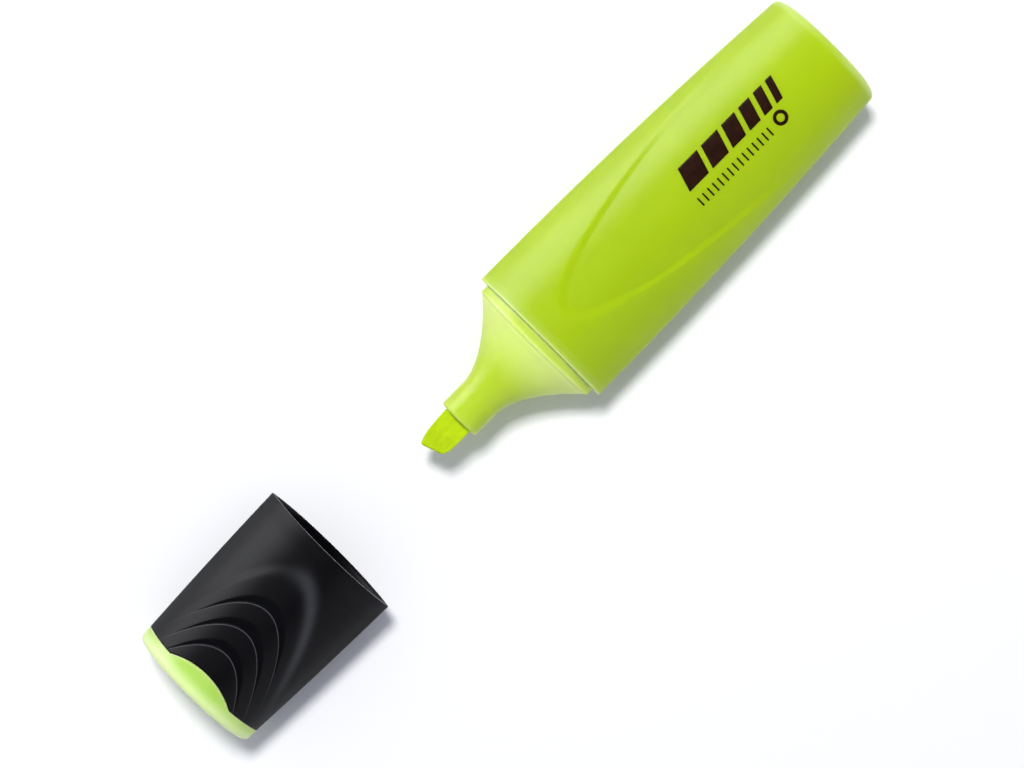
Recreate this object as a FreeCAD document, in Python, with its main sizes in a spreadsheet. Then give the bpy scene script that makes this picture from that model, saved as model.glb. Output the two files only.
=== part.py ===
import FreeCAD, Part
import Sketcher
import math
import os

# A flat highlighter laid out with its cap pulled off, in line with the pen.
# Frame: +X along the pen towards its closed tail, +Y across the broad faces, +Z up.
# The origin is on the surface it lies on, under the middle of the laid-out pair.
# Pen pieces are drawn from the barrel's front edge and cap pieces from the cap's mouth,
# so each has x = 0 there, and its Placement carries it to where it lies.

os.makedirs("parts", exist_ok=True)
doc = FreeCAD.newDocument("highlighter")

# ---- driving dimensions, millimetres; widths and thicknesses are half sizes ------------

DIMENSIONS = {
    # where the two halves lie
    "shoulder_place": 7.425,
    "mouth_place": -43.175,
    "axis_height": 8.5,
    # barrel: an oval tube, narrower towards its closed tail
    "barrel_length": 69.4,
    "barrel_middle": 34.7,
    "barrel_front_width": 13.97,
    "barrel_middle_width": 13.37,
    "barrel_tail_width": 11.56,
    "barrel_thickness": 8.5,
    "barrel_side_radius": 1.6,
    "barrel_wall": 1.4,
    "barrel_tail_wall": 2.4,
    "tail_sweep": 260.0,
    "tail_rise": 0.493,
    "tail_rounding": 1.2,
    # sunk panel on each broad face of the barrel, shallower towards the tail
    "panel_start": 6.0,
    "panel_reach": 71.4,
    "panel_width": 11.64,
    "panel_depth": 0.45,
    "panel_middle_depth": 0.18,
    "panel_lift": 0.1,
    # ribs that hold the reservoir inside the tail
    "rib_thick": 1.0,
    "rib_start": 50.0,
    "rib_width": 11.45,
    "rib_height": 7.7,
    "bed_radius": 5.68,
    "bed_end": 64.2,
    # front section: plug, collar, trumpet and neck in one moulding
    "collar_front": 1.6,
    "collar_back": 1.7,
    "collar_width": 12.5,
    "collar_thickness": 7.05,
    "collar_side_radius": 0.7,
    "plug_step": 0.25,
    "plug_back": 9.0,
    "bead_front": 5.0,
    "bead_back": 6.4,
    "plug_bore_width": 11.1,
    "plug_bore_thickness": 5.72,
    "bore_step": 0.3,
    "bore_middle": 6.5,
    "bore_middle_width": 5.9,
    "bore_middle_thickness": 3.9,
    "bore_front": 9.8,
    "bore_front_width": 3.2,
    "bore_front_thickness": 2.6,
    "bore_front_side": 1.6,
    "root_width": 12.2,
    "root_thickness": 6.8,
    "root_side_radius": 0.9,
    "throat_width": 3.87,
    "throat_thickness": 3.84,
    "throat_side_radius": 3.7,
    "trumpet_wall": 1.1,
    "neck_radius": 3.9,
    "neck_start": 14.4,
    "neck_front": 19.7,
    "neck_lap": 0.1,
    "neck_rounding": 0.45,
    # nib: a flat fibre bar with a slanted, bevelled tip
    "nib_width": 2.8,
    "nib_thickness": 1.8,
    "nib_tip": 27.2,
    "nib_tip_side": 1.85,
    "nib_shoulder": 24.05,
    "nib_shoulder_side": 2.64,
    "nib_heel": 25.4,
    "nib_heel_side": 2.6,
    "nib_back": 4.2,
    "nib_bevel_back": 2.6,
    "nib_bevel_deep": 0.75,
    "nib_gap": 0.05,
    # reservoir: a fibre rod in a film sleeve
    "core_front": 0.6,
    "core_back": 64.0,
    "core_radius": 5.4,
    "sleeve_inner": 5.43,
    "sleeve_outer": 5.6,
    "sleeve_back": 63.4,
    # cap shell: an oval tube, narrower towards its closed end
    "cap_length": 33.65,
    "cap_middle": 16.8,
    "cap_mouth_width": 13.79,
    "cap_middle_width": 13.265,
    "cap_end_width": 12.43,
    "cap_mouth_thickness": 8.3,
    "cap_middle_thickness": 8.45,
    "cap_end_thickness": 8.5,
    "cap_side_radius": 1.6,
    "cap_end_sweep": 260.0,
    "cap_end_rise": 0.493,
    "cap_end_rounding": 0.9,
    "cap_bore_width": 12.79,
    "cap_bore_thickness": 7.32,
    "cap_bore_end": 32.6,
    "cap_bore_end_width": 11.1,
    "cap_bore_end_thickness": 6.9,
    "bore_side_radius": 0.6,
    # seam between the shell and the end insert, seen on each broad face
    "seam_side": 30.6,
    "seam_side_reach": 14.0,
    "seam_notch": 30.43,
    "seam_notch_side": 6.9,
    "seam_tongue": 12.34,
    "seam_gap": 0.06,
    # grip steps: slanted pockets, each ending in a curved rim
    "grip_one": 13.83,
    "grip_two": 18.92,
    "grip_three": 23.72,
    "grip_run": 2.0,
    "grip_slope": 14.0,
    "grip_long_radius": 52.6,
    "grip_short_radius": 16.2,
    "grip_arm": 10.0,
    # end insert: end block, and a skirt pressed into the shell
    "skirt_front": 26.0,
    "skirt_front_width": 11.33,
    "skirt_front_thickness": 6.88,
    "skirt_back_width": 11.02,
    "skirt_back_thickness": 6.8,
    "skirt_lap": 0.4,
    "insert_bore_width": 9.8,
    "insert_bore_thickness": 5.6,
    "insert_web": 32.0,
    # inner seal: a blind tube that grips the neck
    "seal_front": 15.5,
    "seal_lead": 0.6,
    "seal_bore": 3.98,
    "seal_radius": 5.0,
    "seal_flange": 5.4,
    "seal_web": 31.0,
    # outlines of material that is cut away run past the piece
    "cut_side": 16.0,
    "cut_past": 3.0,
}
# places of the trumpet's sections, as shares of the way from the throat to the root
FLARE_SHARES = (1.0, 0.78, 0.56, 0.36, 0.18, 0.0)
FLARE_POWER = 1.68
FLARE_HEIGHT_POWER = 1.2

sizes = doc.addObject("Spreadsheet::Sheet", "Sizes")
for row, (alias, number) in enumerate(DIMENSIONS.items(), start=1):
    sizes.set("A%d" % row, alias)
    sizes.set("B%d" % row, str(number))
    sizes.setAlias("B%d" % row, alias)
doc.recompute()


def size(alias):
    return float(sizes.get(alias))


def total(terms):
    """(number, expression) of a sum of sheet aliases, such as '- cap_length - seam_gap'."""
    number, sign, words = 0.0, 1, []
    for word in terms.split():
        if word in ("+", "-"):
            sign = 1 if word == "+" else -1
        elif word in DIMENSIONS:
            number += sign * size(word)
        else:
            number += sign * float(word)
        words.append("Sizes." + word if word in DIMENSIONS else word)
    return number, " ".join(words)


def flare(root, throat, share, power):
    """(number, expression) that grows from throat to root with a power of the share."""
    number = size(throat) + (size(root) - size(throat)) * share ** power
    expression = "Sizes.%s + (Sizes.%s - Sizes.%s) * %g ^ %g"
    return number, expression % (throat, root, throat, share, power)


# ---- sketches ---------------------------------------------------------------------------

def new_body(label):
    body = doc.addObject("PartDesign::Body", label)
    body.Label = label
    return body


def origin_plane(body, role):
    return [item for item in body.Origin.OriginFeatures if item.Role == role][0]


def new_sketch(body, name, plane):
    """Empty sketch on one of the body's own origin planes."""
    sketch = body.newObject("Sketcher::SketchObject", name)
    sketch.AttachmentSupport = [(origin_plane(body, plane), "")]
    sketch.MapMode = "FlatFace"
    return sketch


def dimension(sketch, name, kind, *where):
    """Adds a dimension whose last argument is (number, expression), bound to the sheet."""
    number, expression = where[-1]
    index = sketch.addConstraint(Sketcher.Constraint(kind, *where[:-1], number))
    sketch.renameConstraint(index, name)
    if "Sizes" in expression:
        sketch.setExpression("Constraints." + name, expression)


def oval(body, name, place, width, thickness, side_radius):
    """Oval across the X axis: two broad arcs joined by two small side arcs, all tangent.

    Every size is a (number, expression) pair. Tangency gives the broad arcs' radius.
    """
    sketch = new_sketch(body, name, "YZ_Plane")
    sketch.setExpression("AttachmentOffset.Base.z", place[1])
    half_width, half_height, side = width[0], thickness[0], side_radius[0]
    side_centre = half_width - side
    broad = (half_height ** 2 - side ** 2 + side_centre ** 2) / (2 * (half_height - side))
    tilt = math.atan2(broad - half_height, side_centre)
    arcs = (
        (0, half_height - broad, broad, tilt, math.pi - tilt),
        (-side_centre, 0, side, math.pi - tilt, math.pi + tilt),
        (0, broad - half_height, broad, math.pi + tilt, 2 * math.pi - tilt),
        (side_centre, 0, side, -tilt, tilt),
    )
    for aside, height, radius, first, last in arcs:
        circle = Part.Circle(FreeCAD.Vector(aside, height, 0), FreeCAD.Vector(0, 0, 1), radius)
        sketch.addGeometry(Part.ArcOfCircle(circle, first, last))
    for arc in range(4):
        sketch.addConstraint(Sketcher.Constraint("Tangent", arc, 2, (arc + 1) % 4, 1))
    sketch.addConstraint(Sketcher.Constraint("PointOnObject", 0, 3, -2))
    sketch.addConstraint(Sketcher.Constraint("Symmetric", 1, 3, 3, 3, -1, 1))
    sketch.addConstraint(Sketcher.Constraint("PointOnObject", 3, 3, -1))
    dimension(sketch, "side_radius", "Radius", 3, side_radius)
    centre_expression = "%s - (%s)" % (width[1], side_radius[1])
    dimension(sketch, "side_centre", "DistanceX", -1, 1, 3, 3, (side_centre, centre_expression))
    broad_expression = "(({t}) ^ 2 - ({r}) ^ 2 + ({c}) ^ 2) / (2 * (({t}) - ({r})))".format(
        t=thickness[1], r=side_radius[1], c=centre_expression)
    dimension(sketch, "broad_radius", "Radius", 0, (broad, broad_expression))
    return sketch


def outline(body, name, plane, corners):
    """Closed outline through corners (x, y, arc), each given as sums of aliases.

    arc is None for a straight side to the next corner, or (radius, +1 or -1) for an arc
    that turns counter-clockwise or clockwise on its way to the next corner.
    """
    sketch = new_sketch(body, name, plane)
    points = [(total(x), total(y)) for x, y, _ in corners]
    ends = []
    for index, (_, _, arc) in enumerate(corners):
        pair = (points[index], points[(index + 1) % len(points)])
        start, finish = [FreeCAD.Vector(x[0], y[0], 0) for x, y in pair]
        if arc is None:
            sketch.addGeometry(Part.LineSegment(start, finish))
            ends.append((1, 2))
            continue
        radius, turn = total(arc[0]), arc[1]
        chord = finish - start
        reach = math.sqrt(radius[0] ** 2 - (chord.Length / 2) ** 2)
        left = FreeCAD.Vector(-chord.y, chord.x, 0).normalize()
        centre = (start + finish) * 0.5 + left * (turn * reach)
        first, last = (start, finish) if turn > 0 else (finish, start)
        angles = [math.atan2(p.y - centre.y, p.x - centre.x) for p in (first, last)]
        if angles[1] < angles[0]:
            angles[1] += 2 * math.pi
        circle = Part.Circle(centre, FreeCAD.Vector(0, 0, 1), radius[0])
        sketch.addGeometry(Part.ArcOfCircle(circle, *angles))
        ends.append((1, 2) if turn > 0 else (2, 1))
        dimension(sketch, "radius_%d" % index, "Radius", index, radius)
    for index in range(len(corners)):
        follower = (index + 1) % len(corners)
        sketch.addConstraint(Sketcher.Constraint(
            "Coincident", index, ends[index][1], follower, ends[follower][0]))
    for index, (x, y) in enumerate(points):
        dimension(sketch, "x_%d" % index, "DistanceX", -1, 1, index, ends[index][0], x)
        dimension(sketch, "y_%d" % index, "DistanceY", -1, 1, index, ends[index][0], y)
    return sketch


def round_profile(body, name, place, radius):
    """Circle across the X axis."""
    sketch = new_sketch(body, name, "YZ_Plane")
    sketch.setExpression("AttachmentOffset.Base.z", total(place)[1])
    circle = Part.Circle(FreeCAD.Vector(0, 0, 0), FreeCAD.Vector(0, 0, 1), size(radius))
    sketch.addGeometry(circle)
    sketch.addConstraint(Sketcher.Constraint("Coincident", 0, 3, -1, 1))
    dimension(sketch, "radius", "Radius", 0, total(radius))
    return sketch


# ---- features ---------------------------------------------------------------------------

def loft(body, name, sections, cut=False, ruled=False):
    kind = "PartDesign::SubtractiveLoft" if cut else "PartDesign::AdditiveLoft"
    feature = body.newObject(kind, name)
    feature.Profile = sections[0]
    feature.Sections = sections[1:]
    feature.Ruled = ruled
    return feature


def pad(body, name, sketch, length, both_ways=False, backwards=False):
    feature = body.newObject("PartDesign::Pad", name)
    feature.Profile = sketch
    feature.setExpression("Length", total(length)[1])
    feature.SideType = "Symmetric" if both_ways else "One side"
    feature.Reversed = backwards
    return feature


def pocket(body, name, sketch, length=None, both_ways=True, backwards=False):
    """Pocket through everything, or to a length. It has to take some material away."""
    doc.recompute()
    before = body.Shape.Volume
    feature = body.newObject("PartDesign::Pocket", name)
    feature.Profile = sketch
    feature.SideType = "Symmetric" if both_ways else "One side"
    feature.Reversed = backwards
    if length is None:
        feature.Type = "ThroughAll"
    else:
        feature.setExpression("Length", total(length)[1])
    doc.recompute()
    if not body.Shape.Volume < before - 0.01:
        raise RuntimeError("%s cuts nothing" % name)
    return feature


def fillet(body, name, radius, chosen):
    """Rounds the edges for which chosen(edge) is true."""
    doc.recompute()
    tip = body.Tip
    names = ["Edge%d" % n for n, edge in enumerate(tip.Shape.Edges, start=1) if chosen(edge)]
    feature = body.newObject("PartDesign::Fillet", name)
    feature.Base = (tip, names)
    feature.setExpression("Radius", "Sizes." + radius)
    doc.recompute()
    return feature


def rectangle(body, name, plane, low_x, high_x, low_y, high_y):
    corners = [(x, y, None) for x, y in (
        (low_x, low_y), (high_x, low_y), (high_x, high_y), (low_x, high_y))]
    return outline(body, name, plane, corners)


def across(place, width, thickness, side_radius):
    """The four sums of an oval's sizes as (number, expression) pairs."""
    return [total(terms) for terms in (place, width, thickness, side_radius)]


def boolean_cut(label, base, tool):
    cut = doc.addObject("Part::Cut", label)
    cut.Label = label
    cut.Base = base
    cut.Tool = tool
    return cut


# ---- barrel -----------------------------------------------------------------------------

def barrel_ovals(body, name, inset, tail_place):
    """The barrel's three sections, drawn in by a sum such as '- barrel_wall'."""
    stations = (
        ("0", "barrel_front_width"),
        ("barrel_middle", "barrel_middle_width"),
        (tail_place, "barrel_tail_width"),
    )
    return [
        oval(body, "%s_%d" % (name, index), *across(
            place, width + inset, "barrel_thickness" + inset, side_radius_of(inset)))
        for index, (place, width) in enumerate(stations)
    ]


def side_radius_of(inset):
    return "bore_side_radius" if inset else "barrel_side_radius"


def make_barrel():
    body = new_body("barrel_blank")
    loft(body, "barrel_outside", barrel_ovals(body, "outside", "", "barrel_length"))
    sweep = outline(body, "tail_outline", "XY_Plane", (
        ("barrel_length - tail_rise", "- cut_side", ("tail_sweep", 1)),
        ("barrel_length - tail_rise", "cut_side", None),
        ("barrel_length + cut_past", "cut_side", None),
        ("barrel_length + cut_past", "- cut_side", None),
    ))
    pocket(body, "tail_curve", sweep)
    fillet(body, "tail_edge", "tail_rounding",
           lambda edge: edge.BoundBox.XMin > size("barrel_length") - size("barrel_tail_wall"))
    hollow = barrel_ovals(body, "inside", " - barrel_wall", "barrel_length - barrel_tail_wall")
    loft(body, "barrel_hollow", hollow, cut=True)
    flat = rectangle(body, "flat_rib_outline", "XY_Plane", "rib_start", "barrel_length - barrel_tail_wall",
                     "- rib_width", "rib_width")
    pad(body, "flat_rib", flat, "rib_thick", both_ways=True)
    upright = rectangle(body, "upright_rib_outline", "XZ_Plane", "rib_start",
                        "barrel_length - barrel_tail_wall", "- rib_height", "rib_height")
    pad(body, "upright_rib", upright, "rib_thick", both_ways=True)
    pocket(body, "reservoir_bed", round_profile(body, "bed_outline", "0", "bed_radius"), "bed_end",
           both_ways=False, backwards=True)
    return body


def make_panel_tool():
    """Prism over the panel's outline, less an oval core that is the panel's floor."""
    prism = new_body("panel_prism")
    reach, width = size("panel_reach"), size("panel_width")
    centre = FreeCAD.Vector(size("panel_start") + reach, 0, 0)
    sketch = new_sketch(prism, "panel_outline", "XY_Plane")
    half = Part.Ellipse(centre, reach, width)
    sketch.addGeometry(Part.ArcOfEllipse(half, math.pi / 2, 3 * math.pi / 2))
    sketch.addGeometry(Part.LineSegment(
        centre - FreeCAD.Vector(0, width, 0), centre + FreeCAD.Vector(0, width, 0)))
    sketch.addConstraint(Sketcher.Constraint("Coincident", 0, 2, 1, 1))
    sketch.addConstraint(Sketcher.Constraint("Coincident", 0, 1, 1, 2))
    pad(prism, "panel_block", sketch, "axis_height + axis_height + axis_height", both_ways=True)
    core = new_body("panel_core")
    sections = [
        oval(core, "core_%d" % index, *across(place, width + inset, "barrel_thickness" + inset,
                                              "barrel_side_radius" + inset))
        for index, (place, width, inset) in enumerate((
            ("0", "barrel_front_width", " - panel_depth"),
            ("barrel_middle", "barrel_middle_width", " - panel_middle_depth"),
            ("barrel_length", "barrel_tail_width", " + panel_lift"),
        ))
    ]
    loft(core, "panel_floor", sections)
    return boolean_cut("panel_tool", prism, core)


barrel = boolean_cut("barrel", make_barrel(), make_panel_tool())


# ---- front section ----------------------------------------------------------------------

def make_front_section():
    body = new_body("front_section")
    collar = ("collar_width", "collar_thickness", "collar_side_radius")
    plug = ("collar_width - plug_step", "collar_thickness - plug_step", "collar_side_radius")
    pad(body, "collar", oval(body, "collar_oval", *across("- collar_front", *collar)),
        "collar_front + collar_back")
    pad(body, "plug", oval(body, "plug_oval", *across("0", *plug)), "plug_back")
    pad(body, "bead", oval(body, "bead_oval", *across("bead_front", *collar)), "bead_back - bead_front")
    way = "Sizes.neck_start - Sizes.collar_front"
    span = size("neck_start") - size("collar_front")
    sections = []
    for index, share in enumerate(FLARE_SHARES):
        place = (-size("neck_start") + span * share, "-Sizes.neck_start + (%s) * %g" % (way, share))
        sections.append(oval(
            body, "trumpet_%d" % index, place,
            flare("root_width", "throat_width", share, FLARE_POWER),
            flare("root_thickness", "throat_thickness", share, FLARE_HEIGHT_POWER),
            flare("root_side_radius", "throat_side_radius", share, 1)))
    loft(body, "trumpet", sections)
    pad(body, "neck", round_profile(body, "neck_outline", "- neck_front", "neck_radius"),
        "neck_front - neck_start + neck_lap")
    fillet(body, "neck_edge", "neck_rounding",
           lambda edge: edge.BoundBox.XMax < 0.01 - size("neck_front"))
    bores = (
        ("plug_back", "plug_bore_width", "plug_bore_thickness", "collar_side_radius"),
        ("0", "plug_bore_width", "plug_bore_thickness", "collar_side_radius"),
        ("- collar_front", "root_width - trumpet_wall - trumpet_wall", "plug_bore_thickness - bore_step",
         "root_side_radius"),
        ("- bore_middle", "bore_middle_width", "bore_middle_thickness", "bore_front_side"),
        ("- bore_front", "bore_front_width", "bore_front_thickness", "bore_front_side"),
    )
    loft(body, "front_hollow",
         [oval(body, "bore_%d" % index, *across(*bore)) for index, bore in enumerate(bores)],
         cut=True, ruled=True)
    socket = rectangle(body, "socket_outline", "XY_Plane", "- neck_front - cut_past", "0",
                       "- nib_width - nib_gap", "nib_width + nib_gap")
    pocket(body, "nib_socket", socket, "nib_thickness + nib_thickness + nib_gap + nib_gap")
    return body


# ---- nib and reservoir ------------------------------------------------------------------

def make_nib():
    body = new_body("nib")
    plan = outline(body, "nib_outline", "XY_Plane", (
        ("nib_back", "- nib_width", None),
        ("nib_back", "nib_width", None),
        ("- neck_front", "nib_width", None),
        ("- nib_shoulder", "nib_shoulder_side", None),
        ("- nib_tip", "nib_tip_side", None),
        ("- nib_heel", "- nib_heel_side", None),
        ("- neck_front", "- nib_width", None),
    ))
    pad(body, "nib_bar", plan, "nib_thickness + nib_thickness", both_ways=True)
    doc.recompute()
    tip = body.Tip
    slant = ["Edge%d" % n for n, edge in enumerate(tip.Shape.Edges, start=1)
             if edge.BoundBox.XMax < 0.01 - size("nib_heel") and edge.BoundBox.YLength > 4]
    bevel = body.newObject("PartDesign::Chamfer", "nib_bevel")
    bevel.Base = (tip, slant)
    bevel.ChamferType = "Two distances"
    bevel.setExpression("Size", "Sizes.nib_bevel_deep")
    bevel.setExpression("Size2", "Sizes.nib_bevel_back")
    return body


def make_reservoir_core():
    body = new_body("reservoir_core")
    pad(body, "rod", round_profile(body, "rod_outline", "core_front", "core_radius"),
        "core_back - core_front")
    seat = rectangle(body, "nib_seat_outline", "XY_Plane", "0", "nib_back + nib_gap",
                     "- nib_width - nib_gap", "nib_width + nib_gap")
    pocket(body, "nib_seat", seat, "nib_thickness + nib_thickness + nib_gap + nib_gap")
    return body


def make_reservoir_sleeve():
    body = new_body("reservoir_sleeve")
    pad(body, "film", round_profile(body, "film_outline", "core_front", "sleeve_outer"),
        "sleeve_back - core_front")
    pocket(body, "film_bore", round_profile(body, "film_bore_outline", "0", "sleeve_inner"),
           "barrel_length", both_ways=False, backwards=True)
    return body


# ---- cap --------------------------------------------------------------------------------

def cap_outside(body):
    stations = (
        ("0", "cap_mouth_width", "cap_mouth_thickness"),
        ("- cap_middle", "cap_middle_width", "cap_middle_thickness"),
        ("- cap_length", "cap_end_width", "cap_end_thickness"),
    )
    sections = [oval(body, "outside_%d" % index, *across(*station, "cap_side_radius"))
                for index, station in enumerate(stations)]
    return loft(body, "cap_outside", sections)


def seam_outline(body, shift, far):
    """Everything from the seam, moved towards the closed end by shift, to the place far."""
    return outline(body, "seam_outline", "XY_Plane", (
        ("- seam_side" + shift, "- seam_side_reach", None),
        ("- seam_notch" + shift, "- seam_notch_side", ("seam_tongue", 1)),
        ("- seam_notch" + shift, "seam_notch_side", None),
        ("- seam_side" + shift, "seam_side_reach", None),
        (far, "seam_side_reach", None),
        (far, "- seam_side_reach", None),
    ))


def make_cap_shell():
    body = new_body("cap_shell")
    cap_outside(body)
    pocket(body, "seam_cut", seam_outline(body, "", "- cap_length - cut_past"))
    hollow = (
        ("0", "cap_bore_width", "cap_bore_thickness"),
        ("- cap_bore_end", "cap_bore_end_width", "cap_bore_end_thickness"),
    )
    loft(body, "shell_hollow",
         [oval(body, "hollow_%d" % index, *across(*station, "bore_side_radius"))
          for index, station in enumerate(hollow)], cut=True, ruled=True)
    grips = [grip_pocket(body, name) for name in ("grip_one", "grip_two", "grip_three")]
    both = body.newObject("PartDesign::Mirrored", "lower_grips")
    both.Originals = grips
    both.MirrorPlane = (origin_plane(body, "XY_Plane"), [""])
    body.Tip = both
    return body


def grip_pocket(body, name):
    """Crescent pocket: a floor that slants down towards the closed end, up to a rim.

    The rim is part of an ellipse in plan, drawn on the slanted floor itself.
    """
    slope = math.radians(size("grip_slope"))
    stretch = 1 / math.cos(slope)
    long_radius, short_radius = size("grip_long_radius") * stretch, size("grip_short_radius")
    run, arm = size("grip_run") * stretch, size("grip_arm")
    sketch = new_sketch(body, name + "_outline", "XY_Plane")
    turn = FreeCAD.Rotation(FreeCAD.Vector(0, 1, 0), -size("grip_slope"))
    sketch.AttachmentOffset = FreeCAD.Placement(FreeCAD.Vector(0, 0, 0), turn)
    sketch.setExpression("AttachmentOffset.Base.x", "Sizes.grip_run - Sizes." + name)
    sketch.setExpression("AttachmentOffset.Base.z", "Sizes.cap_middle_thickness")
    ellipse = Part.Ellipse(FreeCAD.Vector(-run - long_radius, 0, 0), long_radius, short_radius)
    spread = math.asin(arm / short_radius)
    rim_end = -run - long_radius * (1 - math.cos(spread))
    sketch.addGeometry(Part.ArcOfEllipse(ellipse, -spread, spread))
    corners = [FreeCAD.Vector(*xy, 0) for xy in ((rim_end, arm), (run, arm), (run, -arm), (rim_end, -arm))]
    for start, finish in zip(corners, corners[1:]):
        sketch.addGeometry(Part.LineSegment(start, finish))
    for first, second in ((0, 1), (1, 2), (2, 3)):
        sketch.addConstraint(Sketcher.Constraint("Coincident", first, 2, second, 1))
    sketch.addConstraint(Sketcher.Constraint("Coincident", 3, 2, 0, 1))
    return pocket(body, name, sketch, both_ways=False, backwards=True)


def make_cap_end_insert():
    body = new_body("cap_end_insert")
    cap_outside(body)
    sweep = outline(body, "end_outline", "XY_Plane", (
        ("cap_end_rise - cap_length", "- cut_side", None),
        ("- cap_length - cut_past", "- cut_side", None),
        ("- cap_length - cut_past", "cut_side", None),
        ("cap_end_rise - cap_length", "cut_side", ("cap_end_sweep", 1)),
    ))
    pocket(body, "end_curve", sweep)
    end_reach = 2 * size("cap_end_rise") - size("cap_length")
    fillet(body, "end_edge", "cap_end_rounding", lambda edge: edge.BoundBox.XMax < end_reach)
    pocket(body, "seam_cut", seam_outline(body, " - seam_gap", "cut_past"))
    skirt = (
        ("- skirt_front", "skirt_front_width", "skirt_front_thickness"),
        ("- insert_web - skirt_lap", "skirt_back_width", "skirt_back_thickness"),
    )
    loft(body, "skirt", [oval(body, "skirt_%d" % index, *across(*station, "bore_side_radius"))
                         for index, station in enumerate(skirt)], ruled=True)
    bore = oval(body, "insert_bore_oval", *across(
        "- insert_web", "insert_bore_width", "insert_bore_thickness", "bore_side_radius"))
    pocket(body, "insert_bore", bore, "insert_web", both_ways=False, backwards=True)
    return body


def make_cap_inner_seal():
    body = new_body("cap_inner_seal")
    profile = outline(body, "seal_profile", "XY_Plane", (
        ("- seal_front", "seal_bore + seal_lead", None),
        ("- seal_front", "seal_radius", None),
        ("- seal_web", "seal_radius", None),
        ("- seal_web", "seal_flange", None),
        ("- insert_web", "seal_flange", None),
        ("- insert_web", "0", None),
        ("- seal_web", "0", None),
        ("- seal_web", "seal_bore", None),
        ("- seal_front - seal_lead", "seal_bore", None),
    ))
    turned = body.newObject("PartDesign::Revolution", "seal_tube")
    turned.Profile = profile
    turned.ReferenceAxis = (profile, ["H_Axis"])
    turned.Angle = 360
    return body


# ---- put in place, check and write ------------------------------------------------------

PEN_PIECES = [barrel, make_front_section(), make_nib(), make_reservoir_core(), make_reservoir_sleeve()]
CAP_PIECES = [make_cap_shell(), make_cap_end_insert(), make_cap_inner_seal()]

for pieces, place in ((PEN_PIECES, "shoulder_place"), (CAP_PIECES, "mouth_place")):
    for piece in pieces:
        piece.setExpression("Placement.Base.x", "Sizes." + place)
        piece.setExpression("Placement.Base.z", "Sizes.axis_height")
doc.recompute()

for item in doc.Objects:
    if "Invalid" in item.State or "Error" in item.State:
        raise RuntimeError("%s failed: %s" % (item.Label, item.State))
for piece in PEN_PIECES + CAP_PIECES:
    if piece.Shape.isNull() or not piece.Shape.isValid():
        raise RuntimeError("%s has no sound shape" % piece.Label)
    piece.Shape.exportStep("parts/%s.step" % piece.Label)
    box = piece.Shape.BoundBox
    print("%-18s %8.1f mm3  x %.2f..%.2f  y %.2f..%.2f  z %.2f..%.2f" % (
        piece.Label, piece.Shape.Volume, box.XMin, box.XMax, box.YMin, box.YMax, box.ZMin, box.ZMax))
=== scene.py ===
import math

import bmesh
import bpy
import numpy as np
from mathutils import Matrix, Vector


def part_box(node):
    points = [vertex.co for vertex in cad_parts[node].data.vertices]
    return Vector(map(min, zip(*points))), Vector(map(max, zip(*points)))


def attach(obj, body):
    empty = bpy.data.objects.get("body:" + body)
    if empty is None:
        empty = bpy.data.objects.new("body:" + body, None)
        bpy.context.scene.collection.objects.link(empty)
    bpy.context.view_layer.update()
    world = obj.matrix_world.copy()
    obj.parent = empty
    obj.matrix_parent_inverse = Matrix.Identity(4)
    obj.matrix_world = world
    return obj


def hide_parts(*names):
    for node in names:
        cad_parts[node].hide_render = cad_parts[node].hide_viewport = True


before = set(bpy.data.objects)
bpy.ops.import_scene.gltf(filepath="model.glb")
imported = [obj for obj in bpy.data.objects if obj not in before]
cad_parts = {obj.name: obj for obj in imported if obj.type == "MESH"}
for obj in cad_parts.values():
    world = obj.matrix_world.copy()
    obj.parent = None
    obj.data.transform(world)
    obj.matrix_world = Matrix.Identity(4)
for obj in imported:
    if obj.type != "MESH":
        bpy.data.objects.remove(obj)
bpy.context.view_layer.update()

# ---- Barrel -----------------------------------------------------------------------------
# A flat oval tube, closed at the tail, injection-moulded in translucent yellow-green
# polypropylene with a satin skin. Each broad face has a shallow sunk panel for the label.
# Shapes below are in millimetres, from the barrel's front edge and the pen's axis.
MM = 0.001
barrel_low, barrel_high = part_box("barrel")
pen_place = np.array([barrel_low.x / MM, 0.0, (barrel_low.z + barrel_high.z) / 2 / MM])
INK_FILM = 0.012
BARREL_LENGTH = (barrel_high.x - barrel_low.x) / MM
BARREL_WIDTH = barrel_high.y / MM
BARREL_THICKNESS = (barrel_high.z - barrel_low.z) / 2 / MM - INK_FILM
BARREL_TAPER = 0.0005
BARREL_SIDE, LEAST_SIDE = 1.6, 0.3
BARREL_WALL = 1.4
BARREL_FLOOR = 2.4
FRONT_ROUNDING = 0.12
TAIL_ROUNDING = 1.2
TAIL_SWEEP = 260.0
TAIL_CROWN = 46.0
TAIL_POWER = 14
PANEL_START = 6.0
PANEL_REACH = 71.4
PANEL_WIDTH = 11.64
PANEL_DEPTH = 0.48
PANEL_LIP, PANEL_SOFT_LIP, PANEL_SOFT_REACH = 1.3, 2.3, 18.0
PANEL_FADE = (26.0, 69.0)
SINK_BLEND = 2.0
QUARTER_TURN = np.linspace(0, math.pi / 2, 7)
# Painted light: at the front edge, the lap over the collar and round the tail, the colour turns towards a
# pale lit tone by these shares.
BARREL_FRONT_PAINTED_LIGHT, BARREL_FRONT_PAINTED_LIGHT_REACH = 0.8, 0.22
LAP_PAINTED_LIGHT, LAP_PAINTED_LIGHT_END = 0.05, (1.5, 1.9)
TAIL_PAINTED_LIGHT, TAIL_SIDE_PAINTED_LIGHT, TAIL_SIDE_SPAN = 0.1, 0.3, 9.0
TAIL_PAINTED_LIGHT_START, TAIL_PAINTED_LIGHT_FULL = 1.7, 0.4
BARREL_DEEP = (0.38, 0.548, 0.0)
BARREL_PALE = (0.42, 0.587, 0.0)
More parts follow.
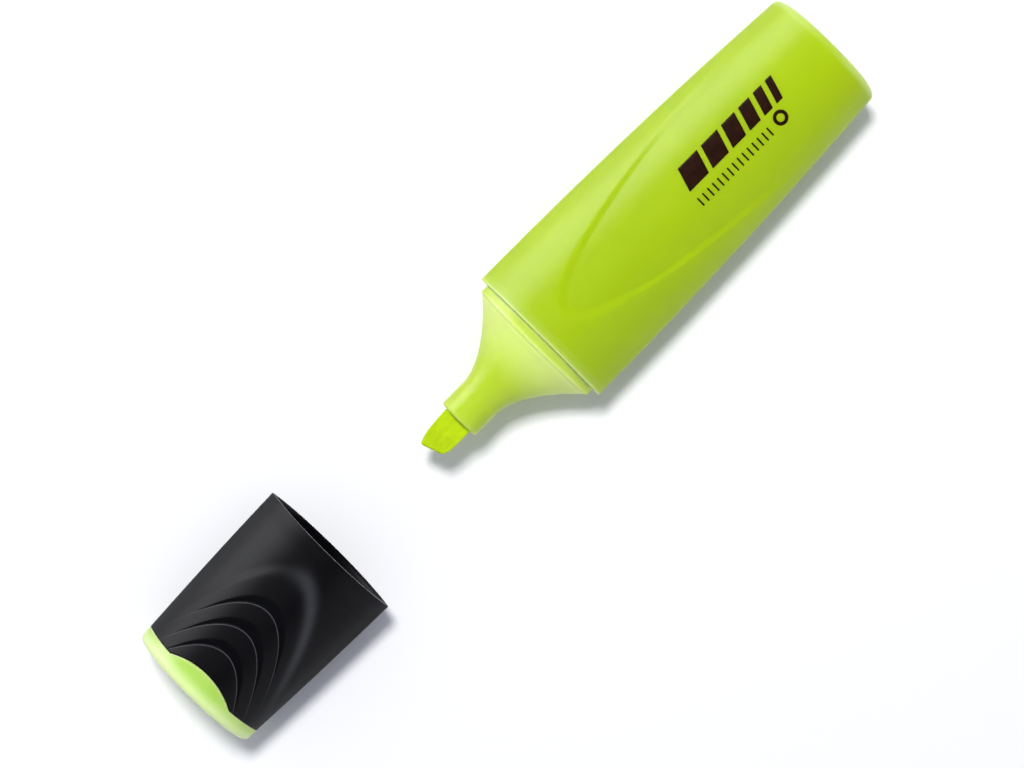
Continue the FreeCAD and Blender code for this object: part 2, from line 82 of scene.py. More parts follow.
# Pale lit tone of the barrel's painted light and highlights.
BARREL_PAINTED_LIGHT_TONE = (0.78, 0.93, 0.45)
CLOUD_LIMITS = (0.32, 0.68)
GRAIN_LIMITS = (0.3, 0.7)


def ease(start, finish, value):
    """Smooth step: 0 before start, 1 after finish, 3s^2 - 2s^3 between them."""
    share = np.clip((value - start) / (finish - start), 0, 1)
    return share * share * (3 - 2 * share)


def oval_turns(broad, side):
    """Columns round an oval: the quarter each is in, and its share of the way along it."""
    counts = (broad, side, broad, side)
    return np.repeat(np.arange(4), counts), np.concatenate([np.arange(n) / n for n in counts])


def oval(width, thickness, side, turns):
    """y and z of an oval of half width and half thickness: two broad arcs and two side arcs.

    The broad radius is (t^2 - r^2 + c^2) / 2(t - r), with r the side radius and c = width - r,
    so that the arcs are tangent. Columns are evenly spaced in y on the broad arcs.
    """
    quarter, share = turns
    centre = width - side
    broad = (thickness ** 2 - side ** 2 + centre ** 2) / (2 * (thickness - side))
    tilt = np.arctan2(centre, broad - thickness)
    across = np.where(quarter == 0, 1 - 2 * share, 2 * share - 1)
    lean = np.arcsin(across * np.sin(tilt))
    crown = broad * np.cos(lean) - (broad - thickness)
    bend = tilt + (math.pi - 2 * tilt) * np.where(quarter == 1, share, 1 - share)
    flank = centre + side * np.sin(bend)
    y = np.choose(quarter, [broad * np.sin(lean), -flank, broad * np.sin(lean), flank])
    z = np.choose(quarter, [crown, side * np.cos(bend), -crown, side * np.cos(bend)])
    return y, z


def skin(name, rings, place, closed=False, painted_light=None):
    """Piece from rings of points, each joined to the next one and closed on itself.

    A ring shrunk to one point is a pole. A closed piece joins its last ring to its first.
    The painted light is kept with each point: how far its colour turns to that of a thin, lit edge, a painted
    highlight.
    """
    count, columns = rings.shape[:2]
    row = np.arange(count if closed else count - 1)[:, None]
    column = np.arange(columns)[None, :]
    here, after = row * columns, (row + 1) % count * columns
    beside = (column + 1) % columns
    quads = np.stack([here + column, here + beside, after + beside, after + column], -1)
    mesh = bpy.data.meshes.new(name)
    mesh.from_pydata(((rings + place) * MM).reshape(-1, 3).tolist(), [], quads.reshape(-1, 4).tolist())
    # Painted light: each point's share of a pale lit tone, kept as an attribute.
    if painted_light is not None:
        shares = mesh.attributes.new("painted_light", "FLOAT", "POINT")
        shares.data.foreach_set("value", np.broadcast_to(painted_light, rings.shape[:2]).astype(np.float32).ravel())
    shape = bmesh.new()
    shape.from_mesh(mesh)
    bmesh.ops.remove_doubles(shape, verts=shape.verts, dist=0.0004 * MM)
    if shape.calc_volume(signed=True) < 0:
        bmesh.ops.reverse_faces(shape, faces=shape.faces)
    shape.to_mesh(mesh)
    shape.free()
    mesh.shade_smooth()
    piece = bpy.data.objects.new(name, mesh)
    bpy.context.scene.collection.objects.link(piece)
    return piece


def panel_sink(x, y):
    """Depth of the sunk panel: distance inside an ellipse, eased over its lip, fading tailwards.

    The lip is softest at the panel's round front end.
    """
    along = (x - PANEL_START - PANEL_REACH) / PANEL_REACH
    across = y / PANEL_WIDTH
    reach = np.hypot(along, across)
    inside = (1 - reach) * reach / np.hypot(along / PANEL_REACH, across / PANEL_WIDTH)
    lip = PANEL_SOFT_LIP + (PANEL_LIP - PANEL_SOFT_LIP) * ease(PANEL_START, PANEL_SOFT_REACH, x)
    return PANEL_DEPTH * ease(-lip / 2, lip / 2, inside) * (1 - ease(*PANEL_FADE, x))


def stations(*runs):
    """Rows of a profile, each run being columns that broadcast together."""
    return np.concatenate([np.stack(np.broadcast_arrays(*run), -1).reshape(-1, len(run)) for run in runs])


def barrel_rings(turns):
    """Rings from the floor inside the tail, out round the front edge, back to the tail's end.

    Each row of the profile is a place along X, how far the oval is drawn in, its scale, and
    whether it is outside. The tail end bulges by the rise of two arcs, across and up. Painted
    light: the colour turns paler at the front edge, where the collar backs the wall, and round the tail.
    """
    end, rounding = BARREL_LENGTH, TAIL_ROUNDING
    sine, cosine = np.sin(QUARTER_TURN), np.cos(QUARTER_TURN)
    x, inset, scale, outside = stations(
        (end - BARREL_FLOOR, BARREL_WALL, np.linspace(0, 1, 6), 0),
        (np.linspace(end - BARREL_FLOOR, FRONT_ROUNDING, 30)[1:], BARREL_WALL, 1, 0),
        (0, np.linspace(BARREL_WALL - FRONT_ROUNDING, FRONT_ROUNDING, 4), 1, 0),
        (FRONT_ROUNDING * (1 - cosine[1:]), FRONT_ROUNDING * (1 - sine[1:]), 1, 1),
        (np.linspace(FRONT_ROUNDING, end - rounding, 210)[1:], 0, 1, 1),
        (end - rounding + rounding * sine[1:], rounding * (1 - cosine[1:]), 1, 1),
        (end, rounding, np.linspace(1, 0, 9)[1:], 1),
    ).T[:, :, None]
    side = np.maximum(BARREL_SIDE - inset, LEAST_SIDE)
    width = BARREL_WIDTH - BARREL_TAPER * x ** 2 - inset
    y, z = oval(width, BARREL_THICKNESS - inset, side, turns)
    y, z = y * scale, z * scale
    bulge = TAIL_SWEEP - np.sqrt(TAIL_SWEEP ** 2 - y ** 2) + TAIL_CROWN - np.sqrt(TAIL_CROWN ** 2 - z ** 2)
    x = x - bulge * (x / end) ** TAIL_POWER
    z = z - np.sign(z) * panel_sink(x, y) * outside * ease(0, SINK_BLEND, np.abs(z))
    # Painted light: pale lit colour at the front edge, the lap and round the tail, most at the tail's sides.
    tail = ease(end - TAIL_PAINTED_LIGHT_START, end - TAIL_PAINTED_LIGHT_FULL, x + bulge)
    painted_light = BARREL_FRONT_PAINTED_LIGHT * np.exp(-x / BARREL_FRONT_PAINTED_LIGHT_REACH) + LAP_PAINTED_LIGHT * (1 - ease(*LAP_PAINTED_LIGHT_END, x))
    painted_light = painted_light + tail * (TAIL_PAINTED_LIGHT + TAIL_SIDE_PAINTED_LIGHT * ease(0, TAIL_SIDE_SPAN, np.abs(y)))
    return np.stack(np.broadcast_arrays(x, y, z), -1), np.clip(painted_light, 0, 1)


def finish_material(name, deep, pale, centre, cloud, grain, depth, gloss, stretch=(1, 1, 1), edge=None):
    """Material whose colour drifts between two tones over clouds of one size, in mm, and whose
    skin has a fine bumpy grain of another size and of a depth. Where an edge colour is given,
    the points' painted light turns the colour to it: a painted highlight, not the material's own
    colour. Returns the material, its shader, its tree's nodes and links, and its grain."""
    material = bpy.data.materials.new(name)
    material.use_nodes = True
    nodes, links = material.node_tree.nodes, material.node_tree.links
    shader = nodes["Principled BSDF"]
    shader.inputs["Specular IOR Level"].default_value = gloss
    place = nodes.new("ShaderNodeTexCoord")
    centred = nodes.new("ShaderNodeMapping")
    centred.vector_type = "POINT"
    centred.inputs["Location"].default_value = [-c * MM for c in centre]
    links.new(place.outputs["Object"], centred.inputs["Vector"])
    stretched = nodes.new("ShaderNodeVectorMath")
    stretched.operation = "MULTIPLY"
    stretched.inputs[1].default_value = stretch
    links.new(centred.outputs["Vector"], stretched.inputs[0])
    clouds = nodes.new("ShaderNodeTexNoise")
    clouds.inputs["Scale"].default_value = 1 / (cloud * MM)
    clouds.inputs["Detail"].default_value = 3.0
    links.new(stretched.outputs["Vector"], clouds.inputs["Vector"])
    tones = nodes.new("ShaderNodeValToRGB")
    for stop, limit, tone in zip(tones.color_ramp.elements, CLOUD_LIMITS, (deep, pale)):
        stop.position = limit
        stop.color = (*tone, 1)
    links.new(clouds.outputs["Fac"], tones.inputs["Fac"])
    if edge is None:
        links.new(tones.outputs["Color"], shader.inputs["Base Color"])
    else:
        # Painted light: each point's stored share mixes the colour towards the pale lit tone.
        painted_light = nodes.new("ShaderNodeAttribute")
        painted_light.attribute_name = "painted_light"
        lit = nodes.new("ShaderNodeMix")
        lit.data_type = "RGBA"
        lit.inputs[7].default_value = (*edge, 1)
        links.new(painted_light.outputs["Fac"], lit.inputs[0])
        links.new(tones.outputs["Color"], lit.inputs[6])
        links.new(lit.outputs[2], shader.inputs["Base Color"])
    fine = nodes.new("ShaderNodeTexNoise")
    fine.inputs["Scale"].default_value = 1 / (grain * MM)
    fine.inputs["Detail"].default_value = 4.0
    fine.inputs["Roughness"].default_value = 0.6
    links.new(stretched.outputs["Vector"], fine.inputs["Vector"])
    bump = nodes.new("ShaderNodeBump")
    bump.inputs["Strength"].default_value = 1.0
    bump.inputs["Distance"].default_value = depth * MM
    links.new(fine.outputs["Fac"], bump.inputs["Height"])
    links.new(bump.outputs["Normal"], shader.inputs["Normal"])
    return material, shader, nodes, links, fine


def vary_roughness(nodes, links, fine, shader, smooth, rough):
    """Roughness that follows the grain, from smooth in its hollows to rough on its tops."""
    spread = nodes.new("ShaderNodeMapRange")
    spread.inputs["From Min"].default_value = GRAIN_LIMITS[0]
    spread.inputs["From Max"].default_value = GRAIN_LIMITS[1]
    spread.inputs["To Min"].default_value = smooth
    spread.inputs["To Max"].default_value = rough
    links.new(fine.outputs["Fac"], spread.inputs["Value"])
    links.new(spread.outputs["Result"], shader.inputs["Roughness"])


def translucent(shader, weight, reach, spread):
    """Light that enters the plastic comes out again up to reach mm away, by colour."""
    shader.subsurface_method = "RANDOM_WALK"
    shader.inputs["Subsurface Weight"].default_value = weight
    shader.inputs["Subsurface Scale"].default_value = reach * MM
    shader.inputs["Subsurface Radius"].default_value = spread


barrel_middle = tuple((barrel_low + barrel_high) / 2 / MM)
barrel_plastic, shader, nodes, links, fine = finish_material(
    "barrel_satin_plastic", BARREL_DEEP, BARREL_PALE, barrel_middle,
    cloud=22.0, grain=0.35, depth=0.003, gloss=0.3, edge=BARREL_PAINTED_LIGHT_TONE)
vary_roughness(nodes, links, fine, shader, smooth=0.34, rough=0.44)
translucent(shader, weight=0.65, reach=2.2, spread=(0.9, 1.0, 0.12))
rings, painted_light = barrel_rings(oval_turns(118, 12))
barrel = skin("barrel_moulding", rings, pen_place, painted_light=painted_light)
barrel.data.materials.append(barrel_plastic)
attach(barrel, "pen")
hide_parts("barrel")

# ---- Print on the barrel ----------------------------------------------------------------
# A generic label mark, pad-printed in one dark brown-black ink on the upper panel: a row of
# bold slanted bars over a row of thin ticks and a plain ring. The ink is a thin closed film.
MARK_START = 34.5
BAR_LOW, BAR_HIGH = -0.85, 3.3
BAR_WIDTHS = (4.5, 3.8, 3.1, 2.5, 1.9, 1.4)
BAR_GAP = 0.95
BAR_SLANT = 0.32
TICK_LOW, TICK_HIGH = -4.15, -2.45
TICK_COUNT = 15
TICK_PITCH = 1.17
TICK_WIDTH = 0.3
RING_CENTRE = (53.9, -2.9)
RING_RADII = (0.72, 1.32)
INK_DEEP = (0.014, 0.003, 0.001)
INK_PALE = (0.026, 0.007, 0.002)


def barrel_crown(x, y):
    """Height of the barrel's upper face: its broad arc, less the panel's depth."""
    centre = BARREL_WIDTH - BARREL_TAPER * x ** 2 - BARREL_SIDE
    rise = BARREL_THICKNESS
    broad = (rise ** 2 - BARREL_SIDE ** 2 + centre ** 2) / (2 * (rise - BARREL_SIDE))
    return np.sqrt(broad ** 2 - y ** 2) - (broad - rise) - panel_sink(x, y)


def ink_sheet(x, y, wrap=False):
    """Points and quads of one printed shape, laid on the barrel's upper face."""
    rows, columns = x.shape
    points = np.stack([x, y, barrel_crown(x, y) + INK_FILM], -1).reshape(-1, 3)
    row = np.arange(rows - 1)[:, None] * columns
    column = np.arange(columns if wrap else columns - 1)[None, :]
    beside = (column + 1) % columns
    quads = np.stack([row + column, row + beside, row + columns + beside, row + columns + column], -1)
    return points, quads.reshape(-1, 4)


def printed_bar(start, width, low, high, slant):
    """Slanted bar: x = start + share of width + slant times the height above its foot."""
    along, up = np.meshgrid(np.linspace(0, 1, 12), np.linspace(0, 1, 14))
    return ink_sheet(start + along * width + up * (high - low) * slant, low + up * (high - low))


def printed_ring():
    """Flat ring: a polar grid between two radii about the ring's centre."""
    radius, angle = np.meshgrid(np.linspace(*RING_RADII, 4), np.arange(40) / 40 * 2 * math.pi, indexing="ij")
    x = RING_CENTRE[0] + radius * np.cos(angle)
    return ink_sheet(x, RING_CENTRE[1] + radius * np.sin(angle), wrap=True)


bar_starts = MARK_START + np.concatenate([[0], np.cumsum(np.array(BAR_WIDTHS[:-1]) + BAR_GAP)])
shapes = [printed_bar(start, width, BAR_LOW, BAR_HIGH, BAR_SLANT)
          for start, width in zip(bar_starts, BAR_WIDTHS)]
shapes += [printed_bar(MARK_START + TICK_PITCH * n, TICK_WIDTH, TICK_LOW, TICK_HIGH, 0)
           for n in range(TICK_COUNT)]
shapes.append(printed_ring())
firsts = np.cumsum([0] + [len(points) for points, _ in shapes[:-1]])
print_points = np.concatenate([points for points, _ in shapes])
print_quads = np.concatenate([quads + first for (_, quads), first in zip(shapes, firsts)])
print_mesh = bpy.data.meshes.new("barrel_print")
print_mesh.from_pydata(((print_points + pen_place) * MM).tolist(), [], print_quads.tolist())
print_mesh.shade_smooth()
ink = bmesh.new()
ink.from_mesh(print_mesh)
bmesh.ops.recalc_face_normals(ink, faces=ink.faces)
bmesh.ops.reverse_faces(ink, faces=[face for face in ink.faces if face.normal.z < 0])
ink.to_mesh(print_mesh)
ink.free()
barrel_print = bpy.data.objects.new("barrel_print", print_mesh)
bpy.context.scene.collection.objects.link(barrel_print)
film = barrel_print.modifiers.new("ink_film", "SOLIDIFY")
film.thickness = 2 * INK_FILM * MM
film.offset = -1.0
ink_paint, shader, nodes, links, fine = finish_material(
    "label_ink", INK_DEEP, INK_PALE, barrel_middle, cloud=1.4, grain=0.12, depth=0.002, gloss=0.1)
vary_roughness(nodes, links, fine, shader, smooth=0.42, rough=0.6)
barrel_print.data.materials.append(ink_paint)
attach(barrel_print, "pen")

# ---- Front section ----------------------------------------------------------------------
# One moulding in the same translucent plastic, a little paler: a plug pressed into the
# barrel, an oval collar, a trumpet that narrows to a round neck, and the nib's flat socket.
COLLAR_WIDTH, COLLAR_THICKNESS, COLLAR_SIDE = 12.5, 7.05, 0.8
COLLAR_FRONT, COLLAR_BACK = -1.4, 1.7
COLLAR_BOW, BOW_FADE = 0.5, (0.82, 1.0)
COLLAR_ROUNDING = 0.1
PLUG_STEP = 0.25
PLUG_BACK = 9.0
ROOT_WIDTH, ROOT_THICKNESS = 12.2, 6.8
NECK_RADIUS = 3.9
NECK_SIDE = 3.7
NECK_START, NECK_FRONT = -14.4, -19.7
NECK_ROUNDING = 0.48
FLARE_POWER, FLARE_HEIGHT_POWER = 1.68, 1.2
BORE_WIDTH, BORE_THICKNESS = 11.1, 5.72
BORE_FRONT = (
    # place, half width, half thickness, side radius
    (-9.8, 3.2, 2.6, 1.6),
    (-6.5, 5.9, 3.9, 1.6),
    (-1.6, 10.0, 5.42, 0.8),
)
SOCKET_WIDTH, SOCKET_THICKNESS, SOCKET_CORNER = 2.86, 1.86, 0.25
SOCKET_BACK = -10.6
SLOT_POWER = 0.4
# Painted light: shares of a pale lit tone in the trumpet, painted highlights on the neck's and collar's
# edges, and on the collar at the barrel's shoulder, which lies in the barrel's shade.
TRUMPET_PAINTED_LIGHT, TRUMPET_PAINTED_LIGHT_RUN = 0.85, (-11.0, -2.2)
NECK_EDGE_PAINTED_HIGHLIGHT, COLLAR_EDGE_PAINTED_HIGHLIGHT, EDGE_PAINTED_HIGHLIGHT_REACH = 0.6, 0.7, 0.3
COLLAR_PAINTED_LIGHT, COLLAR_PAINTED_LIGHT_BLEND = 0.12, 0.2
SHOULDER_PAINTED_LIGHT, SHOULDER_PAINTED_LIGHT_REACH = 0.9, 0.35
FRONT_DEEP = (0.48, 0.65, 0.025)
FRONT_PALE = (0.54, 0.70, 0.040)
# Pale lit tone of the front section's painted light and highlights.
FRONT_PAINTED_LIGHT_TONE = (0.73, 0.90, 0.26)


def slot_oval(width, thickness, corner, turns):
    """y and z of a rounded bar section: flat faces, and sides bent as a squarish superellipse."""
    quarter, share = turns
    across = np.where(quarter == 0, 1 - 2 * share, 2 * share - 1)
    bend = math.pi * np.where(quarter == 1, share, 1 - share)
    sine, cosine = np.sin(bend), np.cos(bend)
    flank = width - corner + corner * np.abs(sine) ** SLOT_POWER
    height = thickness * np.sign(cosine) * np.abs(cosine) ** SLOT_POWER
    flat = across * (width - corner)
    full = np.broadcast_to(thickness, np.broadcast_shapes(np.shape(thickness), flat.shape))
    y = np.choose(quarter, np.broadcast_arrays(flat, -flank, flat, flank))
    z = np.choose(quarter, np.broadcast_arrays(full, height, -full, height))
    return y, z


def front_rings(turns):
    """Rings of the plug, collar, trumpet and neck, then of the socket and the bore inside.

    The trumpet's half width is neck + (root - neck) * share^1.68, and its half thickness
    grows in the same way with power 1.2, but no faster. The collar's front edge bows forward.
    Painted light: the colour turns paler in the trumpet, on the edges of neck and collar, and at the barrel's
    shoulder, which lies in the barrel's shade.
    """
    sine, cosine = np.sin(QUARTER_TURN), np.cos(QUARTER_TURN)
    share = np.linspace(1, 0, 46)
    root = COLLAR_FRONT - COLLAR_ROUNDING
    flare_width = NECK_RADIUS + (ROOT_WIDTH - NECK_RADIUS) * share ** FLARE_POWER
    flare_rise = NECK_RADIUS + (ROOT_THICKNESS - NECK_RADIUS) * share ** FLARE_HEIGHT_POWER
    flare_rise = np.minimum(flare_rise, flare_width)
    collar_turn = COLLAR_ROUNDING * (1 - cosine)
    neck_turn = NECK_ROUNDING * (1 - cosine)
    width, rise = COLLAR_WIDTH, COLLAR_THICKNESS
    x, width, rise, side, bow = stations(
        (np.linspace(PLUG_BACK, COLLAR_BACK, 6), width - PLUG_STEP, rise - PLUG_STEP, COLLAR_SIDE, 0),
        (np.linspace(COLLAR_BACK, COLLAR_FRONT, 7), width, rise, COLLAR_SIDE, np.linspace(0, 1, 7) ** 2),
        (COLLAR_FRONT - COLLAR_ROUNDING * sine[1:], width - collar_turn[1:], rise - collar_turn[1:],
         COLLAR_SIDE, 1),
        (NECK_START + (root - NECK_START) * share, flare_width, flare_rise,
         NECK_SIDE + (COLLAR_SIDE - NECK_SIDE) * share, ease(*BOW_FADE, share)),
        (np.linspace(NECK_START, NECK_FRONT + NECK_ROUNDING, 12)[1:], NECK_RADIUS, NECK_RADIUS, NECK_SIDE, 0),
        (NECK_FRONT + NECK_ROUNDING * (1 - sine[1:]), NECK_RADIUS - neck_turn[1:],
         NECK_RADIUS - neck_turn[1:], NECK_SIDE - NECK_ROUNDING, 0),
    ).T[:, :, None]
    y, z = oval(width, rise, side, turns)
    x = x - COLLAR_BOW * bow * (1 - np.minimum(np.abs(y) / COLLAR_WIDTH, 1) ** 2)
    outer = np.stack(np.broadcast_arrays(x, y, z), -1)
    depth = np.linspace(NECK_FRONT, SOCKET_BACK, 8)[:, None]
    y, z = slot_oval(SOCKET_WIDTH, SOCKET_THICKNESS, SOCKET_CORNER, turns)
    socket = np.stack(np.broadcast_arrays(depth, y, z), -1)
    x, width, rise, side = stations(
        *BORE_FRONT, (np.linspace(0, PLUG_BACK, 4), BORE_WIDTH, BORE_THICKNESS, COLLAR_SIDE)).T[:, :, None]
    y, z = oval(width, rise, side, turns)
    bore = np.stack(np.broadcast_arrays(x, y, z), -1)
    rings = np.concatenate([outer, socket, bore])
    x = rings[..., 0]
    # Painted light: pale lit colour in the trumpet, on the neck's and collar's edges and at the shoulder.
    behind = ease(root - COLLAR_PAINTED_LIGHT_BLEND, root + COLLAR_PAINTED_LIGHT_BLEND, x)
    painted_light = TRUMPET_PAINTED_LIGHT * ease(*TRUMPET_PAINTED_LIGHT_RUN, x) * (1 - behind) + COLLAR_PAINTED_LIGHT * behind
    painted_light += NECK_EDGE_PAINTED_HIGHLIGHT * np.exp(-np.abs(x - NECK_FRONT) / EDGE_PAINTED_HIGHLIGHT_REACH)
    painted_light += COLLAR_EDGE_PAINTED_HIGHLIGHT * np.exp(-np.abs(x + COLLAR_BOW - root) / EDGE_PAINTED_HIGHLIGHT_REACH)
    painted_light += SHOULDER_PAINTED_LIGHT * np.exp(-np.abs(x) / SHOULDER_PAINTED_LIGHT_REACH)
    return rings, np.clip(painted_light, 0, 1)


front_low, front_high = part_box("front_section")
front_middle = tuple((front_low + front_high) / 2 / MM)
front_plastic, shader, nodes, links, fine = finish_material(
    "front_satin_plastic", FRONT_DEEP, FRONT_PALE, front_middle,
    cloud=9.0, grain=0.3, depth=0.002, gloss=0.3, edge=FRONT_PAINTED_LIGHT_TONE)
vary_roughness(nodes, links, fine, shader, smooth=0.28, rough=0.36)
translucent(shader, weight=0.92, reach=2.0, spread=(0.95, 1.0, 0.3))
rings, painted_light = front_rings(oval_turns(70, 16))
front_section = skin("front_moulding", rings, pen_place, closed=True, painted_light=painted_light)
front_section.data.materials.append(front_plastic)
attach(front_section, "pen")
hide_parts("front_section")

# ---- Nib --------------------------------------------------------------------------------
# A flat bar of bonded polyester fibre, soaked in fluorescent ink, pushed into the socket.
# Its end is cut at a slant and ground to a bevel on both broad faces.
NIB_WIDTH, NIB_THICKNESS, NIB_CORNER = 2.8, 1.8, 0.28
NIB_BACK = 4.2
NIB_FREE = -19.7
NIB_TIP, NIB_TIP_SIDE = -27.2, 1.85
NIB_HEEL_SIDE = -2.42
NIB_UPPER_STEP, NIB_UPPER_RUN, NIB_TIP_POWER = 0.16, 0.6, 4
NIB_LOWER_STEP, NIB_HEEL_POWER = 0.06, 8
NIB_SLANT = 0.342
NIB_BEVEL_START = 0.54
NIB_BEVEL_DEPTH = 0.6
NIB_ROUNDING = 0.55
NIB_DEEP = (0.44, 0.62, 0.0)
NIB_PALE = (0.54, 0.72, 0.001)


def nib_rings(turns):
    """Rings from the nib's back end to its slanted tip.

    The free length runs along lines from the neck to the slanted end, so a ring at a share of
    the way is slanted by that share. The sides close in and the faces bevel near the end.
    """
    sine, cosine = np.sin(QUARTER_TURN), np.cos(QUARTER_TURN)
    share = np.linspace(0, 1, 40)
    rounding = NIB_ROUNDING * (1 - cosine)
    back = np.linspace(NIB_BACK, NIB_FREE, 12)[:-1]
    place, way, inset, scale = stations(
        (NIB_BACK, 0, 0, np.linspace(0, 1, 4)[:-1]),
        (back, 0, 0, 1),
        (NIB_FREE, share, 0, 1),
        (NIB_FREE - NIB_ROUNDING * sine[1:], 1, rounding[1:], 1),
        (NIB_FREE - NIB_ROUNDING, 1, NIB_ROUNDING, np.linspace(1, 0, 6)[1:]),
    ).T[:, :, None]
    upper = NIB_WIDTH - NIB_UPPER_STEP * ease(0, NIB_UPPER_RUN, way)
    upper = upper - (NIB_WIDTH - NIB_UPPER_STEP - NIB_TIP_SIDE) * way ** NIB_TIP_POWER
    lower = NIB_LOWER_STEP * way - NIB_WIDTH
    lower = lower + (NIB_WIDTH - NIB_LOWER_STEP + NIB_HEEL_SIDE) * way ** NIB_HEEL_POWER
    bevel = NIB_BEVEL_DEPTH * np.maximum(way - NIB_BEVEL_START, 0) / (1 - NIB_BEVEL_START)
    y, z = slot_oval((upper - lower) / 2 - inset, NIB_THICKNESS - bevel - inset, NIB_CORNER, turns)
    y = (upper + lower) / 2 + y * scale
    end = NIB_TIP + NIB_ROUNDING + (NIB_TIP_SIDE - y) * NIB_SLANT
    x = place + (end - NIB_FREE) * way
    return np.stack(np.broadcast_arrays(x, y, z * scale), -1)


nib_low, nib_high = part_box("nib")
nib_middle = tuple((nib_low + nib_high) / 2 / MM)
nib_fibre, shader, nodes, links, fine = finish_material(
    "nib_inked_fibre", NIB_DEEP, NIB_PALE, nib_middle,
    cloud=0.9, grain=0.2, depth=0.012, gloss=0.2, stretch=(0.3, 1, 1))
vary_roughness(nodes, links, fine, shader, smooth=0.5, rough=0.8)
translucent(shader, weight=0.35, reach=0.8, spread=(0.9, 1.0, 0.1))
nib = skin("nib_fibre_bar", nib_rings(oval_turns(36, 20)), pen_place)
nib.data.materials.append(nib_fibre)
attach(nib, "pen")
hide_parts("nib")

# ---- Reservoir --------------------------------------------------------------------------
# A rod of bonded fibre that holds the ink, in a sleeve of thin clear film. Both are sealed
# inside the barrel, so the turned solids are kept and given their own finishes.
ROD_DEEP = (0.60, 0.74, 0.05)
ROD_PALE = (0.78, 0.88, 0.16)
FILM_DEEP = (0.80, 0.83, 0.74)
FILM_PALE = (0.88, 0.90, 0.84)
FILM_COVER = 0.35

rod_low, rod_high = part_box("reservoir_core")
rod_middle = tuple((rod_low + rod_high) / 2 / MM)
rod_fibre, shader, nodes, links, fine = finish_material(
    "reservoir_inked_fibre", ROD_DEEP, ROD_PALE, rod_middle,
    cloud=2.5, grain=0.2, depth=0.03, gloss=0.2, stretch=(0.15, 1, 1))
vary_roughness(nodes, links, fine, shader, smooth=0.7, rough=0.95)
sleeve_film, shader, nodes, links, fine = finish_material(
    "reservoir_clear_film", FILM_DEEP, FILM_PALE, rod_middle,
    cloud=6.0, grain=0.8, depth=0.004, gloss=0.4, stretch=(0.3, 1, 1))
vary_roughness(nodes, links, fine, shader, smooth=0.12, rough=0.22)
shader.inputs["Alpha"].default_value = FILM_COVER
for node, material in (("reservoir_core", rod_fibre), ("reservoir_sleeve", sleeve_film)):
    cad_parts[node].data.materials.clear()
    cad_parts[node].data.materials.append(material)

# ---- Cap shell --------------------------------------------------------------------------
# An oval tube moulded in black polypropylene with a fine satin texture. Each broad face has
# a soft arch and three stepped grip rims, each with a crescent pocket sunk ahead of it.
# Cap shapes are in millimetres from the mouth, measured towards the closed end.
shell_low, shell_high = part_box("cap_shell")
cap_place = np.array([shell_high.x / MM, 0.0, (shell_low.z + shell_high.z) / 2 / MM])
CAP_WIDTH = shell_high.y / MM
CAP_TAPER, CAP_CURVE = 0.022, 0.00055
CAP_THICKNESS, CAP_SWELL, CAP_SETTLE = 8.3, 0.01156, 0.000167
CAP_SIDE = 1.6
MOUTH_ROUNDING = 0.16
BORE_MOUTH, BORE_END, BORE_DEPTH = (12.79, 7.32), (11.1, 6.9), 32.6
BORE_SIDE = 0.6
RIMS = (13.83, 18.92, 23.72)
RIM_SPREAD, RIM_CLOSE = 9.34, 0.0863
POCKET_RUN = (1.95, 1.95, 1.8)
POCKET_SLOPE = 0.249
POCKET_SPAN_RATE = 0.145
POCKET_SOFTNESS = 0.02
RIM_FACE, RIM_BACK, RIM_WAKE = 0.22, 0.24, 2.4
# Painted highlights: shares of a pale tone as glints along the rims' edges and as a lit band on the arch.
RIM_PAINTED_GLINT, RIM_PAINTED_GLINT_PLACE, RIM_PAINTED_GLINT_REACH, RIM_PAINTED_GLINT_END = 0.9, 0.03, 0.075, (7.5, 11.5)
LEAN_RUN = 11.3
ARCH_START, ARCH_BAND, ARCH_DEPTH = 5.8, 2.6, 0.26
ARCH_SPREAD, ARCH_CLOSE = 8.06, 0.0844
ARCH_LEAN = 0.35
ARCH_RUN_IN, ARCH_FADE = 3.6, (13, 30)
ARCH_PAINTED_HIGHLIGHT, ARCH_PAINTED_HIGHLIGHT_END = 0.4, (-2, 4.5)
SEAM_SIDE, SEAM_NOTCH = 30.6, 30.43
SEAM_SIDE_PLACE, SEAM_NOTCH_PLACE = 14.0, 6.9
SEAM_TONGUE = 12.34
SHELL_DEEP = (0.0010, 0.0011, 0.0022)
SHELL_PALE = (0.0018, 0.0019, 0.0034)
# Pale tone of the shell's painted highlights.
SHELL_PAINTED_HIGHLIGHT_TONE = (0.085, 0.086, 0.096)


def conic(y, spread, close):
    """How far a curve whose y^2 is spread * d - close * d^2 has run back from its vertex."""
    return (spread - np.sqrt(np.maximum(spread ** 2 - 4 * close * y ** 2, 0))) / (2 * close)


def seam(y):
    """The shell's end: a round tongue of insert mid-face between two notches, straight beyond."""
    across = np.abs(y)
    centre = SEAM_NOTCH + np.sqrt(SEAM_TONGUE ** 2 - SEAM_NOTCH_PLACE ** 2)
    tongue = centre - np.sqrt(SEAM_TONGUE ** 2 - np.minimum(across, SEAM_NOTCH_PLACE) ** 2)
    beyond = np.interp(across, (SEAM_NOTCH_PLACE, SEAM_SIDE_PLACE), (SEAM_NOTCH, SEAM_SIDE))
    return np.where(across < SEAM_NOTCH_PLACE, tongue, beyond)


def cap_size(depth):
    """Half width and half thickness of the cap, both gently curved along it."""
    width = CAP_WIDTH - CAP_TAPER * depth - CAP_CURVE * depth ** 2
    return width, CAP_THICKNESS + CAP_SWELL * depth - CAP_SETTLE * depth ** 2


